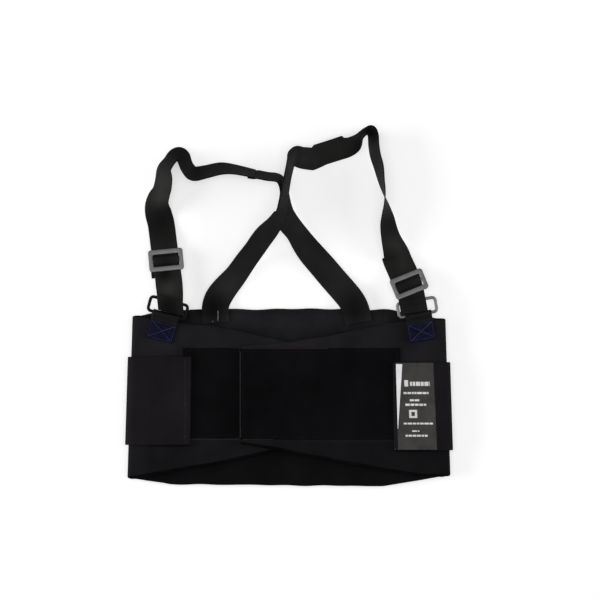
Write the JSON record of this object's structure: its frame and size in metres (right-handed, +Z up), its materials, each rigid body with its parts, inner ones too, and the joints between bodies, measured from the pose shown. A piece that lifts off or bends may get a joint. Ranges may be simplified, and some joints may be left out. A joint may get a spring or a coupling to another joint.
{
  "type": "lumbar support belt",
  "caption": "Elastic back support belt with overlapping hook and loop front panels, side pull tabs, sewn-in back stays and crossed adjustable shoulder straps, closed and lying flat.",
  "frame": {"origin": "middle of the outer band's underside, where the closed belt rests on its back", "axes": "+Z up out of the surface, from the back panel towards the front panels; +Y from the belt towards the shoulder straps; +X towards the wearer's left side"},
  "size_m": [0.3652, 0.402, 0.0483],
  "materials": {
    "body_elastic": "ribbed woven elastic, black",
    "band_elastic": "ribbed woven elastic band, black",
    "loop_pile": "brushed loop pile, black",
    "hook_tape": "moulded hook tape, black",
    "channel_tape": "woven twill tape, black",
    "stay_steel": "flat spring steel, coated ends",
    "strap_webbing": "ribbed polypropylene webbing, black",
    "strap_elastic": "woven elastic webbing, black",
    "tab_webbing": "woven webbing, black with navy box stitching",
    "buckle_metal": "satin grey nickel plated steel",
    "label_vinyl": "printed black vinyl label with plain white blocks"
  },
  "bodies": {
    "back": {"back_panel": "body_elastic", "outer_band": "band_elastic", "stay_channel_1": "channel_tape", "stay_channel_2": "channel_tape", "stay_channel_3": "channel_tape", "stay_channel_4": "channel_tape", "stay_1": "stay_steel", "stay_2": "stay_steel", "stay_3": "stay_steel", "stay_4": "stay_steel", "elastic_strap_left": "strap_elastic", "elastic_strap_right": "strap_elastic", "shoulder_webbing_left": "strap_webbing", "shoulder_webbing_right": "strap_webbing"},
    "left_front": {"front_panel_left": "body_elastic", "loop_panel_left": "loop_pile", "strap_tab_left": "tab_webbing"},
    "right_front": {"front_panel_right": "body_elastic", "loop_panel_right": "loop_pile", "hook_panel": "hook_tape", "strap_tab_right": "tab_webbing"},
    "left_pull_tab": {"pull_tab_left": "band_elastic", "pull_tab_hook_left": "hook_tape"},
    "right_pull_tab": {"pull_tab_right": "band_elastic", "pull_tab_hook_right": "hook_tape", "care_label": "label_vinyl"},
    "left_ring": {"ring_left": "buckle_metal", "adjuster_webbing_left": "strap_webbing"},
    "right_ring": {"ring_right": "buckle_metal", "adjuster_webbing_right": "strap_webbing"},
    "left_slider": {"slider_left": "buckle_metal"},
    "right_slider": {"slider_right": "buckle_metal"}
  },
  "joints": [
    {"name": "right_front_opens", "type": "hinge", "parent": "back", "child": "right_front", "pos_m": [0.1716, 0, 0.0186], "axis": [-0.0314, 0.9995, 0], "range_deg": [0, 110]},
    {"name": "left_front_opens", "type": "hinge", "parent": "back", "child": "left_front", "pos_m": [-0.1716, 0, 0.0186], "axis": [-0.0314, -0.9995, 0], "range_deg": [0, 90]},
    {"name": "left_pull_tab_peels", "type": "hinge", "parent": "left_front", "child": "left_pull_tab", "pos_m": [-0.1716, 0, 0.0186], "axis": [-0.0314, -0.9995, 0], "range_deg": [0, 70]},
    {"name": "right_pull_tab_peels", "type": "hinge", "parent": "right_front", "child": "right_pull_tab", "pos_m": [0.1716, 0, 0.0186], "axis": [-0.0314, 0.9995, 0], "range_deg": [0, 70]},
    {"name": "left_ring_swings", "type": "hinge", "parent": "left_front", "child": "left_ring", "pos_m": [-0.13665, 0.09224, 0.016], "axis": [0.9659, -0.2588, 0], "range_deg": [0, 25]},
    {"name": "right_ring_swings", "type": "hinge", "parent": "right_front", "child": "right_ring", "pos_m": [0.14381, 0.0926, 0.016], "axis": [0.9848, 0.1736, 0], "range_deg": [0, 25]},
    {"name": "left_slider_slides", "type": "slide", "parent": "left_ring", "child": "left_slider", "axis": [-0.0942, 0.9785, -0.1833], "range_m": [-0.024, 0.018]},
    {"name": "right_slider_slides", "type": "slide", "parent": "right_ring", "child": "right_slider", "axis": [-0.3602, 0.8914, -0.275], "range_m": [-0.001, 0.018]}
  ],
  "couplings": [
    {"joint": "left_front_opens", "follows": "right_front_opens", "ratio": 0.8}
  ]
}
